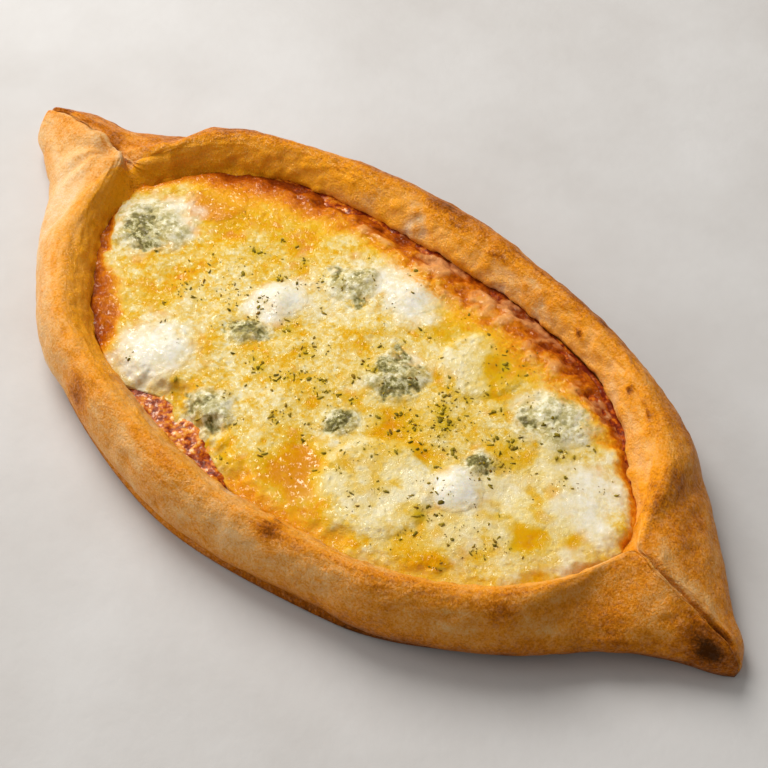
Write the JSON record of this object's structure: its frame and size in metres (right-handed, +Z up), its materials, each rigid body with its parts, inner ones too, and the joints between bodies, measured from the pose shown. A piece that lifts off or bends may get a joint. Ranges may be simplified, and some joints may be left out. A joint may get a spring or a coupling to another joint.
{
  "type": "cheese pide",
  "caption": "Boat-shaped baked flatbread with rolled rims pinched shut at both ends, filled with tomato sauce, melted cheese, white and blue cheese lumps and dried herbs.",
  "frame": {"origin": "on the flat bottom of the bread, under the middle of its bounding box", "axes": "+X along the bread towards the straight-seamed tip, +Y across it to the far side, +Z up"},
  "size_m": [0.3, 0.144, 0.0253],
  "materials": {
    "crust": "golden brown baked dough, matt with a faint sheen",
    "sauce": "moist dark red tomato sauce",
    "cheese": "moist yellow melted cheese with oil",
    "slice": "pale yellow melted cheese slice",
    "white_cheese": "soft white fresh cheese",
    "blue_cheese": "crumbly blue cheese, cream with grey-green veins"
  },
  "bodies": {
    "root": {"dough_boat": "crust", "tomato_sauce": "sauce", "melted_cheese": "cheese", "cheese_slice_1": "slice", "cheese_slice_2": "slice", "cheese_slice_3": "slice", "white_cheese_1": "white_cheese", "white_cheese_2": "white_cheese", "white_cheese_3": "white_cheese", "white_cheese_4": "white_cheese", "blue_cheese_1": "blue_cheese", "blue_cheese_2": "blue_cheese", "blue_cheese_3": "blue_cheese", "blue_cheese_4": "blue_cheese", "blue_cheese_5": "blue_cheese", "blue_cheese_6": "blue_cheese", "blue_cheese_7": "blue_cheese", "blue_cheese_8": "blue_cheese"}
  },
  "joints": []
}
